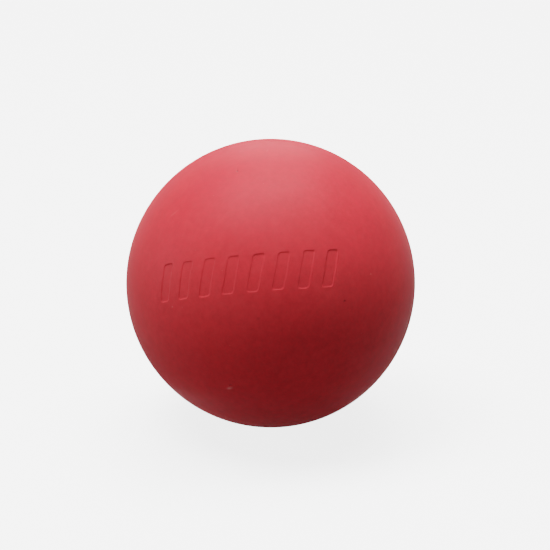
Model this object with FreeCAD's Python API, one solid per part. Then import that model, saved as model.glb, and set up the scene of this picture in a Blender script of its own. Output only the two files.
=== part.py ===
import FreeCAD, Part
import math
import os

from FreeCAD import Placement, Rotation, Vector

# Massage ball: one solid, compression-moulded rubber ball with a shallow recessed mark.
# Millimetres. The origin is the ball's centre, +Z is up and the mark faces -Y, tilted up a little.

# ---- driving dimensions ----
BALL_DIAMETER = 63.0

# The mark is a row of slanted bars on a great circle.
MARK_LENGTH = 41.8      # along the surface, end to end
MARK_HEIGHT = 7.7       # across the row
MARK_DEPTH = 0.15
MARK_TILT_DEG = 23.3    # how far above the equator the middle of the mark points
MARK_ROLL_DEG = 9.0     # how far the row climbs towards +X
BAR_COUNT = 8
BAR_WIDTH = 2.4
BAR_SLANT_DEG = 15.0    # lean of each bar from square across the row
BAR_CORNER = 0.5        # corner radius of a bar's outline
WALL_RUN = 0.05         # how far a sloping wall moves inwards on its way to the floor

# The mould's two halves meet on the great circle square to the mark. The flash there is ground off,
# which leaves a band a hair below the sphere.
BAND_WIDTH = 1.6
BAND_DEPTH = 0.05

# ---- derived values ----
BALL_RADIUS = BALL_DIAMETER / 2
BAR_LEAN = MARK_HEIGHT * math.tan(math.radians(BAR_SLANT_DEG))
BAR_PITCH = (MARK_LENGTH - BAR_WIDTH - BAR_LEAN) / (BAR_COUNT - 1)
CUTTER_HEAD = 1.0       # how far each cutter stands clear outside the ball
CUTTER_MARGIN = 0.05    # how far a bar's cutter reaches below the bar's floor at its corners

CENTRE = Vector(0, 0, 0)
ACROSS = Vector(1, 0, 0)
UP = Vector(0, 0, 1)

# Turns the mark's own frame (row along X, outwards along Z) into the ball's frame.
TO_BALL = Rotation(ACROSS, 90.0 - MARK_TILT_DEG).multiply(Rotation(UP, MARK_ROLL_DEG))


def bar_outline(inset, height):
    """One bar's outline with rounded corners, made smaller by inset, in a plane at this height."""
    lean = math.tan(math.radians(BAR_SLANT_DEG))
    half_height = MARK_HEIGHT / 2 - inset - BAR_CORNER
    half_width = BAR_WIDTH / 2 - inset - BAR_CORNER
    corners = []
    for side, end in ((-1, -1), (1, -1), (1, 1), (-1, 1)):
        corners.append(Vector(side * half_width + end * half_height * lean, end * half_height, height))
    core = Part.makePolygon(corners + corners[:1])
    return core.makeOffset2D(BAR_CORNER)


def bar_cutter(place_in_row):
    """The tool that sinks one bar, with sloping walls and a floor that follows the sphere."""
    floor_radius = BALL_RADIUS - MARK_DEPTH
    corner_reach = math.hypot(MARK_HEIGHT / 2, (BAR_WIDTH + BAR_LEAN) / 2)
    foot_height = math.sqrt(floor_radius ** 2 - corner_reach ** 2) - CUTTER_MARGIN
    head_height = BALL_RADIUS + CUTTER_HEAD
    slope = WALL_RUN / MARK_DEPTH
    outlines = [
        bar_outline(slope * (BALL_RADIUS - foot_height), foot_height),
        bar_outline(slope * (BALL_RADIUS - head_height), head_height),
    ]
    block = Part.makeLoft(outlines, True, True)
    block = block.cut(Part.makeSphere(floor_radius))
    turn_deg = math.degrees(place_in_row / BALL_RADIUS)
    block.Placement = Placement(CENTRE, TO_BALL.multiply(Rotation(Vector(0, 1, 0), turn_deg)))
    return block


def band_cutter():
    """The thin ring that is ground away along the mould's parting line."""
    disc = Part.makeCylinder(BALL_RADIUS + CUTTER_HEAD, BAND_WIDTH, Vector(0, 0, -BAND_WIDTH / 2), UP)
    ring = disc.cut(Part.makeSphere(BALL_RADIUS - BAND_DEPTH))
    ring.Placement = Placement(CENTRE, TO_BALL)
    return ring


def ball_body():
    """The whole ball: the sphere less the mark's bars and the parting band."""
    ball = Part.makeSphere(BALL_RADIUS)
    cutters = [band_cutter()]
    for number in range(BAR_COUNT):
        cutters.append(bar_cutter((number - (BAR_COUNT - 1) / 2) * BAR_PITCH))
    return ball.cut(cutters)


os.makedirs("parts", exist_ok=True)
ball = ball_body()
print("ball volume %.1f mm3, valid %s, solids %d" % (ball.Volume, ball.isValid(), len(ball.Solids)))
ball.exportStep("parts/ball_body.step")
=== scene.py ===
"""Massage ball: one solid ball of matte red rubber with a shallow moulded mark, on a pale floor."""
import math
from collections import namedtuple

import bmesh
import bpy
import numpy as np
from mathutils import Matrix, Vector


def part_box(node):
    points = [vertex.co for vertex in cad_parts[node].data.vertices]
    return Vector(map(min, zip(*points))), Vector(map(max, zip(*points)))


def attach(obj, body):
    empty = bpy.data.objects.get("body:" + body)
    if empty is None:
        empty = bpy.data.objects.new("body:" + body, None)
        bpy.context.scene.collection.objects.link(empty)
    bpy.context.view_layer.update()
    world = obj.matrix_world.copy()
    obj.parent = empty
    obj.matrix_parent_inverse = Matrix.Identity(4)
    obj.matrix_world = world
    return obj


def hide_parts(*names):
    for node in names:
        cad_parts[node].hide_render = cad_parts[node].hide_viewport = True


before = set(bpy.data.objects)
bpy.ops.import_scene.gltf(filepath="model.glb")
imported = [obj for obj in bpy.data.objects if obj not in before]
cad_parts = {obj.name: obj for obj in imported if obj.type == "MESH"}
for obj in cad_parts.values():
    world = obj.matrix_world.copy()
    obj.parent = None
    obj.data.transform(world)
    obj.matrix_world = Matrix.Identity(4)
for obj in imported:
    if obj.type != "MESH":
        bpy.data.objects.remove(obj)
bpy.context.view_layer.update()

MM = 0.001

# ---- the ball, from the CAD body ----
BALL_LOW, BALL_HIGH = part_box("ball_body")
BALL_CENTRE = (BALL_LOW + BALL_HIGH) / 2
BALL_RADIUS = (BALL_HIGH.z - BALL_LOW.z) / 2
FLOOR_HEIGHT = BALL_LOW.z

# ---- the moulded mark: a row of slanted bars on a great circle, as in the CAD body ----
MARK_TILT = math.radians(23.3)
MARK_ROLL = math.radians(9.0)
MARK_LENGTH = 41.8 * MM
MARK_HEIGHT = 7.7 * MM
MARK_DEPTH = 0.15 * MM
BAR_COUNT = 8
BAR_WIDTH = 2.4 * MM
BAR_SLANT = math.tan(math.radians(15.0))
BAR_CORNER = 0.5 * MM
WALL_SPREAD = 0.34 * MM     # width of a wall, from the skin to the floor of a bar
WALL_WANDER = 0.05 * MM     # how far a wall strays from its line
WANDER_SIZE = 1.3 * MM      # size of the lumps in that straying
WANDER_SEED = 1
MARK_WEAR = 0.35            # share of the depth that is lost where the mark is most rubbed
WEAR_SIZE = 7.0 * MM        # size of the more and less rubbed places
WEAR_SEED = 0
BAR_PITCH = (MARK_LENGTH - BAR_WIDTH - MARK_HEIGHT * BAR_SLANT) / (BAR_COUNT - 1)
BAR_MIDDLES = [(number - (BAR_COUNT - 1) / 2) * BAR_PITCH for number in range(BAR_COUNT)]

# ---- the parting line: a ground band on the great circle square to the mark ----
BAND_HALF_WIDTH = 0.8 * MM
BAND_DEPTH = 0.05 * MM
BAND_EDGE = 0.15 * MM

# ---- mesh spacing on the skin ----
PATCH_MARGIN = 2.4 * MM     # plain skin between the mark and the edge of its patch
FINE_STEP = 0.055 * MM      # across a wall
COARSE_STEP = 0.9 * MM      # on plain skin
STEP_GROWTH = 0.17          # how quickly the step grows with distance from a wall
STEP_SAMPLES = 8001         # places at which a step's length is worked out before the steps are laid
STEP_MULTIPLE = 8           # steps come in eights, so that a ring of points can be halved
CIRCLE_ANGLE = math.radians(64.0)   # where the rings round the patch have become circles
BLEND_RINGS = 30            # rings between the patch and there
RING_CROWDING = 0.6         # a ring is halved when its points lie closer than this share of the ring gap

# Turns the mark's own frame (row along X, outwards along Z) into the row frame.
MARK_TO_ROW = Matrix.Rotation(math.pi / 2 - MARK_TILT, 3, "X") @ Matrix.Rotation(MARK_ROLL, 3, "Z")

# Small faults in the skin: degrees along and across from the middle of the mark, half length, half width
# and depth in millimetres, turn in degrees, and tone, where -1 is dark and 1 is pale: dirt and dust on
# most, but a painted highlight and a painted shade on the nick.
Blemish = namedtuple("Blemish", "along across half_length half_width depth turn tone")
BLEMISHES = {
    # Painted highlight: the nick's pale tone stands for the light on the lower wall of a dent.
    "nick": Blemish(-18.2, -46.6, 1.15, 0.55, -0.06, 12.0, 0.55),
    # Painted shade: the dark tone just above the nick stands for the shade on the dent's upper wall.
    "nick_end_painted_shade": Blemish(-16.6, -45.2, 0.56, 0.34, 0.12, 0.0, -0.4),
    "upper_pit": Blemish(-3.3, 45.8, 0.44, 0.50, 0.10, 0.0, -0.95),
    "right_pit": Blemish(39.7, -12.8, 0.40, 0.32, 0.10, 30.0, -0.8),
    "lower_smudge": Blemish(4.3, -17.5, 0.80, 0.50, 0.02, 20.0, -0.3),
    "right_speck": Blemish(52.3, -2.7, 0.44, 0.28, -0.02, 0.0, 0.2),
    "left_speck": Blemish(-32.1, -9.4, 0.38, 0.30, -0.02, 0.0, 0.2),
    "top_speck": Blemish(15.3, 58.9, 0.36, 0.40, -0.02, 0.0, 0.3),
    "left_scuff": Blemish(-33.6, 28.0, 2.20, 0.26, 0.02, 35.0, 0.12),
}
BLEMISH_REACH = 1.6         # the mesh is refined this many half lengths round a blemish
BLEMISH_CUTS = 5            # new points on each edge there
UNEVEN_WAVES = 12           # how many crossing waves make up an uneven field
WAVE_SPREAD = (0.6, 1.4)    # the least and most that a wave's fineness is scaled by

# ---- rubber ----
RUBBER_RED = (0.600, 0.0258, 0.0292)
RUBBER_COOL = (0.580, 0.0258, 0.0327)      # where the pigment is a shade bluer
RUBBER_PALE_DUST_AND_HIGHLIGHT = (0.820, 0.200, 0.190)        # dust, bloom and rubbed skin, and the nick's painted highlight
RUBBER_DARK_DIRT_AND_SHADE = (0.160, 0.0100, 0.0120)      # dirt in a pit and dark specks, and the painted shade above the nick
RUBBER_SPECULAR = 0.08
RUBBER_SHEEN = 0.07
SHEEN_ROUGHNESS = 0.42
PIGMENT_SIZE = 14.0 * MM
MOTTLES = ((6.0 * MM, 0.18), (1.5 * MM, 0.26), (0.5 * MM, 0.28))      # lump size, range of brightness
FILMS = ((18.0 * MM, 0.02), (1.2 * MM, 0.025))      # bloom and fine dust: lump size, strongest share
FILM_START, FILM_FULL = 0.42, 0.78                  # the noise levels between which a film builds up
PIN_DOTS = (                                        # spacing, radius, share and colour
    (2.6 * MM, 0.11 * MM, 0.22, RUBBER_PALE_DUST_AND_HIGHLIGHT),
    (4.3 * MM, 0.14 * MM, 0.35, RUBBER_DARK_DIRT_AND_SHADE),
)
DOT_CORE = 0.5              # a dot is at full strength within this share of its radius
NOISE_DETAIL = 3.0
BAND_TONE = 0.03            # the ground band is this much paler
ROUGHNESS_MIDDLE = 0.52
ROUGHNESS_LUMPS = ((9.0 * MM, 0.16), (0.5 * MM, 0.10))      # lump size, range
GRAIN_SIZE = 0.32 * MM
PEEL_SIZE = 2.4 * MM        # the faint orange peel from the mould
PEEL_SHARE = 1.6            # its height against the grain's
RELIEF_HEIGHT = 0.012 * MM
RELIEF_STRENGTH = 0.5

# ---- studio ----
CAMERA_AZIMUTH = math.radians(11.4)
CAMERA_ELEVATION = math.radians(20.0)
CAMERA_DISTANCE = 600.0 * MM
CAMERA_LENS_MM = 179.9
AIM_RIGHT = 0.95 * MM       # the lens points a little right of the ball's centre and a little above it
AIM_UP = 1.77 * MM
SENSOR_WIDTH_MM = 36.0
CLIP_NEAR = 0.01
CLIP_FAR = 20.0

# Soft round lamps: degrees to the right of the camera, degrees above the level of the ball's centre, and
# watts. The low ones reach a little below the floor, which casts no shadow and so doesn't cut them off.
LAMP_DISTANCE = 0.9
LAMP_SIZE = 0.5
LAMPS = {
    "overhead": (0.0, 90.0, 2.4),
    "back": (180.0, 70.0, 5.5),
    "low_back": (180.0, 30.0, 3.2),
    "back_right": (135.0, 70.0, 5.8),
    "left": (-90.0, 70.0, 9.2),
    "right": (90.0, 70.0, 2.3),
    "low_left": (-90.0, 10.0, 2.2),
    "low_front_left": (-45.0, 10.0, 1.4),
    "low_front_right": (45.0, 10.0, 1.0),
}

# The pale floor curves up into a wall, so no horizon shows. Only the camera sees it: it throws no light
# on the ball and casts no shadow. The bounce cards light the ball from below in its place.
FLOOR_RINGS = (0.0, 0.05, 0.3, 1.0)     # radii of the rings of points on the flat part
FLOOR_RADIUS = 2.2
WALL_RADIUS = 3.2
WALL_HEIGHT = 2.6
CURVE_STEPS = 12
SHEET_SIDES = 96
FLOOR_WHITE = 0.8
FLOOR_GLOW = 2.6            # keeps the floor nearly white beyond the lamps
PAPER_MOTTLE = 30.0 * MM
PAPER_RANGE = 0.02

# The bounce cards, which the camera doesn't see: degrees to the right of the camera and metres from the
# ball's foot to the card's middle, radius, height over the floor, and how pale the card is.
BOUNCE_CARDS = {
    "wide_card": (0.0, 0.0, 2.0, 0.0, 0.06),
    "right_card": (110.0, 0.050, 0.045, 0.0001, 0.20),
    "left_card": (-110.0, 0.050, 0.045, 0.0001, 0.12),
    "near_card": (0.0, 0.0, 0.027, 0.0002, 0.80),
}


def smooth(value):
    """A smooth step from 0 to 1."""
    value = np.clip(value, 0.0, 1.0)
    return value * value * (3.0 - 2.0 * value)


def graded(start, stop, edges, fine=FINE_STEP, coarse=COARSE_STEP, growth=STEP_GROWTH):
    """Stops from start to stop that crowd together at each edge."""
    places = np.linspace(start, stop, STEP_SAMPLES)
    gap = np.min(np.abs(places[:, None] - np.asarray(edges)), axis=1)
    density = 1.0 / np.minimum(fine + growth * gap, coarse)
    total = np.concatenate(([0.0], np.cumsum(np.diff(places) * (density[1:] + density[:-1]) / 2)))
    count = STEP_MULTIPLE * math.ceil(total[-1] / STEP_MULTIPLE)
    return np.interp(np.linspace(0.0, total[-1], count + 1), total, places)


def chart_to_direction(along, across):
    """Unit directions in the mark's frame, from lengths measured along and across the row."""
    longitude = along / BALL_RADIUS
    latitude = across / BALL_RADIUS
    return np.stack([
        np.cos(latitude) * np.sin(longitude),
        np.sin(latitude),
        np.cos(latitude) * np.cos(longitude),
    ], axis=-1)


def polar_to_direction(angle, turn):
    """Unit directions in the mark's frame, from the angle off its axis and the turn round it."""
    return np.stack([np.sin(angle) * np.cos(turn), np.sin(angle) * np.sin(turn), np.cos(angle)], axis=-1)


def patch_grid():
    """Directions of the skin round the mark: a grid that leans with the bars and crowds at their walls."""
    half_row = BAR_MIDDLES[-1] + BAR_WIDTH / 2
    half_height = MARK_HEIGHT / 2
    walls = [middle + side * BAR_WIDTH / 2 for middle in BAR_MIDDLES for side in (-1, 1)]
    along = graded(-half_row - PATCH_MARGIN, half_row + PATCH_MARGIN, walls)
    across = graded(-half_height - PATCH_MARGIN, half_height + PATCH_MARGIN, (-half_height, half_height))
    leaning, rising = np.meshgrid(along, across)
    return chart_to_direction(leaning + rising * BAR_SLANT, rising)


def patch_faces(rows, columns):
    """Quads of a grid whose points are numbered row by row."""
    faces = []
    for row in range(rows - 1):
        for column in range(columns - 1):
            corner = row * columns + column
            faces.append((corner, corner + 1, corner + columns + 1, corner + columns))
    return faces


def patch_rim(rows, columns):
    """The grid's outer points in order, anticlockwise as seen from outside the ball."""
    bottom = list(range(columns - 1))
    right = [row * columns + columns - 1 for row in range(rows - 1)]
    top = [(rows - 1) * columns + column for column in range(columns - 1, 0, -1)]
    left = [row * columns for row in range(rows - 1, 0, -1)]
    return bottom + right + top + left


def bridge(inner, outer):
    """Faces between two rings of point numbers. The outer ring has as many points or half as many."""
    faces = []
    if len(outer) == len(inner):
        for place in range(len(inner)):
            after = (place + 1) % len(inner)
            faces.append((inner[place], outer[place], outer[after], inner[after]))
        return faces
    for place in range(len(outer)):
        after = (place + 1) % len(outer)
        first, middle, last = inner[2 * place], inner[2 * place + 1], inner[2 * after]
        faces.append((first, outer[place], middle))
        faces.append((middle, outer[place], outer[after]))
        faces.append((middle, outer[after], last))
    return faces


def ring_directions(rim):
    """Rings of directions from the patch's rim to just short of the point opposite the mark."""
    angle = np.arccos(rim[:, 2])
    turn = np.unwrap(np.arctan2(rim[:, 1], rim[:, 0]))
    even = 2 * math.pi * np.arange(len(rim)) / len(rim)
    even += np.mean(turn - even)
    rings = []
    for share in np.linspace(0.0, 1.0, BLEND_RINGS + 1)[1:]:
        angles = angle + (CIRCLE_ANGLE - angle) * share
        rings.append(polar_to_direction(angles, turn + (even - turn) * smooth(share)))
    band_edges = [math.pi / 2 + side * BAND_HALF_WIDTH / BALL_RADIUS for side in (-1, 1)]
    stops = graded(CIRCLE_ANGLE, math.pi, band_edges, FINE_STEP / BALL_RADIUS, COARSE_STEP / BALL_RADIUS)
    turns = even
    for before, stop in zip(stops[:-2], stops[1:-1]):
        crowded = 2 * math.pi * math.sin(stop) / len(turns) < RING_CROWDING * (stop - before)
        if crowded and len(turns) % 2 == 0:
            turns = turns[::2]
        rings.append(polar_to_direction(np.full(len(turns), stop), turns))
    return rings


def ball_skeleton():
    """Directions and faces of the whole skin: the patch, rings round it and a fan at the far end."""
    grid = patch_grid()
    rows, columns = grid.shape[:2]
    directions = [grid.reshape(-1, 3)]
    faces = patch_faces(rows, columns)
    ring = patch_rim(rows, columns)
    count = rows * columns
    for points in ring_directions(directions[0][ring]):
        outer = list(range(count, count + len(points)))
        faces += bridge(ring, outer)
        directions.append(points)
        ring = outer
        count += len(points)
    directions.append(np.array([[0.0, 0.0, -1.0]]))
    for place in range(len(ring)):
        faces.append((ring[place], count, ring[(place + 1) % len(ring)]))
    return np.concatenate(directions), faces


def blemish_distance(directions, blemish):
    """Distance from a blemish's middle, where 1 is its edge."""
    longitude, latitude = math.radians(blemish.along), math.radians(blemish.across)
    middle = chart_to_direction(longitude * BALL_RADIUS, latitude * BALL_RADIUS)
    side = np.cross((0.0, 1.0, 0.0), middle)
    side /= np.linalg.norm(side)
    up = np.cross(middle, side)
    sideways = directions @ side * BALL_RADIUS / MM
    upwards = directions @ up * BALL_RADIUS / MM
    cos, sin = math.cos(math.radians(blemish.turn)), math.sin(math.radians(blemish.turn))
    lengthwise = (sideways * cos + upwards * sin) / blemish.half_length
    widthwise = (upwards * cos - sideways * sin) / blemish.half_width
    on_this_side = directions @ middle > 0.0
    return np.where(on_this_side, np.hypot(lengthwise, widthwise), math.inf)


def uneven(directions, size, seed):
    """A smooth random field over the ball, from about -1 to 1, with lumps of about this size."""
    draw = np.random.default_rng(seed)
    total = np.zeros(len(directions))
    for _ in range(UNEVEN_WAVES):
        course = draw.normal(size=3)
        course *= math.pi * BALL_RADIUS / size / np.linalg.norm(course)
        total += np.sin(directions @ course * draw.uniform(*WAVE_SPREAD) + draw.uniform(0.0, 2 * math.pi))
    return total / math.sqrt(UNEVEN_WAVES)


def mark_depth(directions):
    """How far the mark's bars sink the skin at each direction."""
    along = np.arctan2(directions[:, 0], directions[:, 2]) * BALL_RADIUS
    across = np.arcsin(np.clip(directions[:, 1], -1.0, 1.0)) * BALL_RADIUS
    square = math.cos(math.atan(BAR_SLANT))
    nearest = np.full(len(directions), math.inf)
    wear = MARK_WEAR * smooth(0.5 + 0.5 * uneven(directions, WEAR_SIZE, WEAR_SEED))
    for middle in BAR_MIDDLES:
        off_middle = np.abs(along - middle - across * BAR_SLANT)
        past_side = off_middle * square - BAR_WIDTH / 2 * square + BAR_CORNER
        past_end = np.abs(across) - MARK_HEIGHT / 2 + BAR_CORNER
        outside = np.hypot(np.maximum(past_side, 0.0), np.maximum(past_end, 0.0))
        inside = np.minimum(np.maximum(past_side, past_end), 0.0)
        nearest = np.minimum(nearest, outside + inside - BAR_CORNER)
    nearest = nearest + WALL_WANDER * uneven(directions, WANDER_SIZE, WANDER_SEED)
    return MARK_DEPTH * (1 - wear) * smooth(0.5 - nearest / WALL_SPREAD)


def band_share(directions):
    """1 on the ground parting band and 0 elsewhere, with a soft edge."""
    off_plane = np.abs(np.arcsin(np.clip(directions[:, 2], -1.0, 1.0))) * BALL_RADIUS
    return smooth(0.5 - (off_plane - BAND_HALF_WIDTH) / BAND_EDGE)


def refine_blemishes(mesh):
    """Cuts the mesh finer where a blemish needs it. The mesh is a unit ball in the mark's frame."""
    for blemish in BLEMISHES.values():
        points = np.array([vert.co for vert in mesh.verts])
        near = blemish_distance(points, blemish._replace(half_width=blemish.half_length)) < BLEMISH_REACH
        mesh.verts.ensure_lookup_table()
        chosen = [edge for edge in mesh.edges if near[edge.verts[0].index] and near[edge.verts[1].index]]
        bmesh.ops.subdivide_edges(mesh, edges=chosen, cuts=BLEMISH_CUTS, use_grid_fill=True)
        mesh.verts.index_update()
    many_sided = [face for face in mesh.faces if len(face.verts) > 4]
    bmesh.ops.triangulate(mesh, faces=many_sided)


def make_ball():
    """The ball's skin as one closed mesh in the row frame."""
    directions, faces = ball_skeleton()
    data = bpy.data.meshes.new("ball_skin")
    data.from_pydata(directions.tolist(), [], faces)
    mesh = bmesh.new()
    mesh.from_mesh(data)
    mesh.verts.ensure_lookup_table()
    refine_blemishes(mesh)
    mesh.to_mesh(data)
    mesh.free()

    points = np.empty(len(data.vertices) * 3)
    data.vertices.foreach_get("co", points)
    points = points.reshape(-1, 3)
    points /= np.linalg.norm(points, axis=1)[:, None]
    band = band_share(points)
    sunk = mark_depth(points) + BAND_DEPTH * band
    tone = BAND_TONE * band
    # Each blemish adds its tone: dirt and dust, and on the nick a painted highlight and a painted shade.
    for blemish in BLEMISHES.values():
        share = 1.0 - smooth(blemish_distance(points, blemish))
        sunk += blemish.depth * MM * share
        tone += blemish.tone * share
    turned = points @ np.array(MARK_TO_ROW).T
    placed = turned * (BALL_RADIUS - sunk)[:, None] + np.array(BALL_CENTRE)
    data.vertices.foreach_set("co", placed.ravel())
    data.attributes.new("skin_tone_with_painted_light", "FLOAT", "POINT").data.foreach_set("value", tone)
    data.polygons.foreach_set("use_smooth", np.ones(len(data.polygons), dtype=bool))
    data.update()
    ball = bpy.data.objects.new("rubber_ball", data)
    bpy.context.scene.collection.objects.link(ball)
    return ball


def add_node(tree, kind, inputs=None, **settings):
    """A new node. Each input is given a plain value or another node's socket."""
    node = tree.nodes.new(kind)
    for name, value in settings.items():
        setattr(node, name, value)
    for name, value in (inputs or {}).items():
        if isinstance(value, bpy.types.NodeSocket):
            tree.links.new(value, node.inputs[name])
        else:
            node.inputs[name].default_value = value
    return node


def noise(tree, place, grain):
    """Noise from 0 to 1 whose lumps are about this long, in metres."""
    settings = {"Vector": place, "Scale": 1 / grain, "Detail": NOISE_DETAIL}
    return add_node(tree, "ShaderNodeTexNoise", settings).outputs["Fac"]


def ramp(tree, value, start, full, top):
    """0 where the value is at start, top where it is at full, in proportion between, level beyond."""
    limits = {"Value": value, "From Min": start, "From Max": full, "To Min": 0.0, "To Max": top}
    return add_node(tree, "ShaderNodeMapRange", limits).outputs["Result"]


def dots(tree, place, spacing, radius, share):
    """The share inside small round dots that are scattered about this far apart, and 0 elsewhere."""
    cells = add_node(tree, "ShaderNodeTexVoronoi", {"Vector": place, "Scale": 1 / spacing}, feature="F1")
    return ramp(tree, cells.outputs["Distance"], radius / spacing, DOT_CORE * radius / spacing, share)


def combine(tree, operation, *values):
    """Arithmetic on two or three numbers, each a plain value or a socket."""
    return add_node(tree, "ShaderNodeMath", dict(enumerate(values)), operation=operation).outputs[0]


def lumps(tree, place, layers, middle):
    """A number that wanders about its middle. Each layer is a lump size and a range."""
    total = middle
    for size, depth in layers:
        centred = combine(tree, "SUBTRACT", noise(tree, place, size), 0.5)
        total = combine(tree, "MULTIPLY_ADD", centred, depth, total)
    return total


def fade(tree, share, colour, other):
    """The first colour, faded towards the other by this share."""
    mix = add_node(tree, "ShaderNodeMix", data_type="RGBA")
    tree.links.new(share, mix.inputs["Factor"])
    for name, value in (("A", colour), ("B", other)):
        socket = next(found for found in mix.inputs if found.name == name and found.type == "RGBA")
        if isinstance(value, bpy.types.NodeSocket):
            tree.links.new(value, socket)
        else:
            socket.default_value = (*value, 1.0)
    return mix.outputs[2]


def rubber_colour(tree, place, tone):
    """Red rubber: uneven pigment, a faint bloom, fine dust, pale and dark pin dots, and the blemishes,
    with a painted highlight and a painted shade on the nick.
    """
    colour = fade(tree, noise(tree, place, PIGMENT_SIZE), RUBBER_RED, RUBBER_COOL)
    scale = {0: colour, "Scale": lumps(tree, place, MOTTLES, 1.0)}
    colour = add_node(tree, "ShaderNodeVectorMath", scale, operation="SCALE").outputs[0]
    for size, share in FILMS:
        film = ramp(tree, noise(tree, place, size), FILM_START, FILM_FULL, share)
        colour = fade(tree, film, colour, RUBBER_PALE_DUST_AND_HIGHLIGHT)
    for spacing, radius, share, dot_colour in PIN_DOTS:
        colour = fade(tree, dots(tree, place, spacing, radius, share), colour, dot_colour)
    # Pale and dark tones from the skin: dust, scuffs and dirt, and the nick's painted highlight and
    # painted shade.
    colour = fade(tree, ramp(tree, tone, 0.0, 1.0, 1.0), colour, RUBBER_PALE_DUST_AND_HIGHLIGHT)
    return fade(tree, ramp(tree, tone, 0.0, -1.0, 1.0), colour, RUBBER_DARK_DIRT_AND_SHADE)


def rubber_relief(tree, place):
    """The skin's fine grain and its faint orange peel, as a bumped normal."""
    height = combine(
        tree, "MULTIPLY_ADD", noise(tree, place, PEEL_SIZE), PEEL_SHARE, noise(tree, place, GRAIN_SIZE)
    )
    bump = {"Strength": RELIEF_STRENGTH, "Distance": RELIEF_HEIGHT, "Height": height}
    return add_node(tree, "ShaderNodeBump", bump).outputs["Normal"]


def rubber_material():
    """Matte, slightly dusty red rubber."""
    material = bpy.data.materials.new("red_rubber")
    material.use_nodes = True
    tree = material.node_tree
    shader = tree.nodes["Principled BSDF"]
    place = add_node(tree, "ShaderNodeTexCoord").outputs["Object"]
    # The skin's tone holds dirt and dust, and the nick's painted highlight and painted shade.
    tone = add_node(tree, "ShaderNodeAttribute", attribute_name="skin_tone_with_painted_light").outputs["Fac"]
    roughness = lumps(tree, place, ROUGHNESS_LUMPS, ROUGHNESS_MIDDLE)
    tree.links.new(rubber_colour(tree, place, tone), shader.inputs["Base Color"])
    tree.links.new(roughness, shader.inputs["Roughness"])
    tree.links.new(rubber_relief(tree, place), shader.inputs["Normal"])
    shader.inputs["Specular IOR Level"].default_value = RUBBER_SPECULAR
    shader.inputs["Sheen Weight"].default_value = RUBBER_SHEEN
    shader.inputs["Sheen Roughness"].default_value = SHEEN_ROUGHNESS
    return material


def direction_from(azimuth, elevation):
    """The unit direction from the ball to something at this azimuth and elevation."""
    level = math.cos(elevation)
    return Vector((math.sin(azimuth) * level, -math.cos(azimuth) * level, math.sin(elevation)))


def place_facing_ball(item, away, shift=Vector((0.0, 0.0, 0.0))):
    """Puts a lamp or camera in this direction from the ball, looking back along it, then shifts it."""
    item.rotation_mode = "QUATERNION"
    item.rotation_quaternion = (-away).to_track_quat("-Z", "Y")
    item.location = BALL_CENTRE + away + shift
    bpy.context.scene.collection.objects.link(item)


def add_lamps():
    """Soft round lamps at one distance from the ball."""
    for name, (azimuth, elevation, watts) in LAMPS.items():
        light = bpy.data.lights.new(name, "AREA")
        light.shape = "DISK"
        light.size = LAMP_SIZE
        light.energy = watts
        lamp = bpy.data.objects.new(name, light)
        lamp.visible_camera = False
        away = direction_from(CAMERA_AZIMUTH + math.radians(azimuth), math.radians(elevation))
        place_facing_ball(lamp, away * LAMP_DISTANCE)


def add_camera():
    """The camera, aimed a little off the ball's centre."""
    data = bpy.data.cameras.new("camera")
    data.lens = CAMERA_LENS_MM
    data.sensor_width = SENSOR_WIDTH_MM
    data.clip_start = CLIP_NEAR
    data.clip_end = CLIP_FAR
    camera = bpy.data.objects.new("camera", data)
    away = direction_from(CAMERA_AZIMUTH, CAMERA_ELEVATION)
    turn = (-away).to_track_quat("-Z", "Y")
    aim = turn @ Vector((AIM_RIGHT, AIM_UP, 0.0))
    place_facing_ball(camera, away * CAMERA_DISTANCE, aim)
    bpy.context.scene.camera = camera


def turned_sheet(name, profile, steps=SHEET_SIDES):
    """A stage sheet: a profile of (radius, height), from its middle outwards, turned round Z."""
    mesh = bmesh.new()
    angles = [2 * math.pi * step / steps for step in range(steps)]
    middle = mesh.verts.new((0.0, 0.0, profile[0][1]))
    rings = []
    for radius, height in profile[1:]:
        ring = [(radius * math.cos(angle), radius * math.sin(angle), height) for angle in angles]
        rings.append([mesh.verts.new(point) for point in ring])
    for step in range(steps):
        after = (step + 1) % steps
        mesh.faces.new((middle, rings[0][step], rings[0][after]))
        for inner, outer in zip(rings, rings[1:]):
            mesh.faces.new((inner[step], outer[step], outer[after], inner[after]))
    data = bpy.data.meshes.new(name)
    mesh.to_mesh(data)
    mesh.free()
    data.polygons.foreach_set("use_smooth", [True] * len(data.polygons))
    sheet = bpy.data.objects.new(name, data)
    bpy.context.scene.collection.objects.link(sheet)
    return sheet


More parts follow.
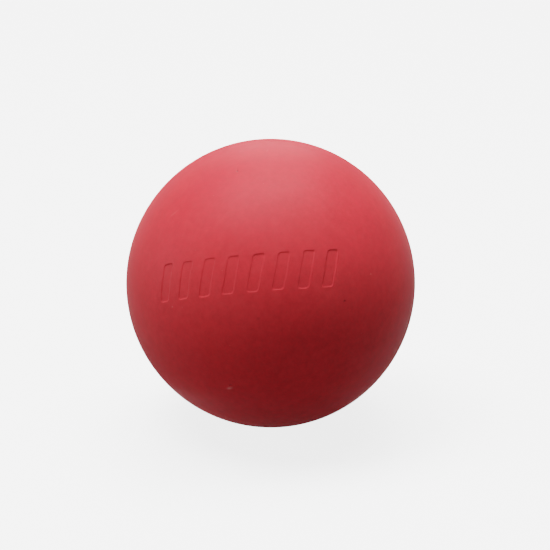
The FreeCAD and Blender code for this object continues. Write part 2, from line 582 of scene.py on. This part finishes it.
def paper_material(name, grey, glow):
    """Matt paper with a faint mottle."""
    material = bpy.data.materials.new(name)
    material.use_nodes = True
    tree = material.node_tree
    shader = tree.nodes["Principled BSDF"]
    place = add_node(tree, "ShaderNodeTexCoord").outputs["Object"]
    shade = lumps(tree, place, ((PAPER_MOTTLE, PAPER_RANGE),), grey)
    colour = add_node(tree, "ShaderNodeCombineColor", {"Red": shade, "Green": shade, "Blue": shade})
    tree.links.new(colour.outputs["Color"], shader.inputs["Base Color"])
    shader.inputs["Roughness"].default_value = 1.0
    shader.inputs["Specular IOR Level"].default_value = 0.0
    shader.inputs["Emission Color"].default_value = (1.0, 1.0, 1.0, 1.0)
    shader.inputs["Emission Strength"].default_value = glow
    return material


def add_floor():
    """The pale floor and its curved wall."""
    curve = WALL_RADIUS - FLOOR_RADIUS
    profile = [(radius, FLOOR_HEIGHT) for radius in FLOOR_RINGS]
    for step in range(CURVE_STEPS + 1):
        turn = math.pi / 2 * step / CURVE_STEPS
        outwards = FLOOR_RADIUS + curve * math.sin(turn)
        profile.append((outwards, FLOOR_HEIGHT + curve * (1 - math.cos(turn))))
    profile.append((WALL_RADIUS, WALL_HEIGHT))
    floor = turned_sheet("pale_floor", profile)
    floor.data.materials.append(paper_material("pale_paper", FLOOR_WHITE, FLOOR_GLOW))
    floor.visible_diffuse = False
    floor.visible_glossy = False
    floor.visible_shadow = False


def add_bounce_cards():
    """The hidden cards that throw light up to the ball."""
    for name, (azimuth, distance, radius, lift, grey) in BOUNCE_CARDS.items():
        card = turned_sheet(name, [(0.0, 0.0), (radius / 2, 0.0), (radius, 0.0)])
        card.location = direction_from(CAMERA_AZIMUTH + math.radians(azimuth), 0.0) * distance
        card.location.z = FLOOR_HEIGHT + lift
        card.data.materials.append(paper_material(name + "_paper", grey, 0.0))
        card.visible_camera = False
        card.visible_shadow = False


def set_tone():
    """A dark world and a film-like response."""
    scene = bpy.context.scene
    scene.world = bpy.data.worlds.new("studio")
    scene.world.use_nodes = True
    scene.world.node_tree.nodes["Background"].inputs["Strength"].default_value = 0.0
    scene.view_settings.view_transform = "Filmic"
    scene.view_settings.look = "None"


ball = make_ball()
ball.data.materials.append(rubber_material())
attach(ball, "root")
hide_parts("ball_body")
add_floor()
add_bounce_cards()
add_lamps()
add_camera()
set_tone()
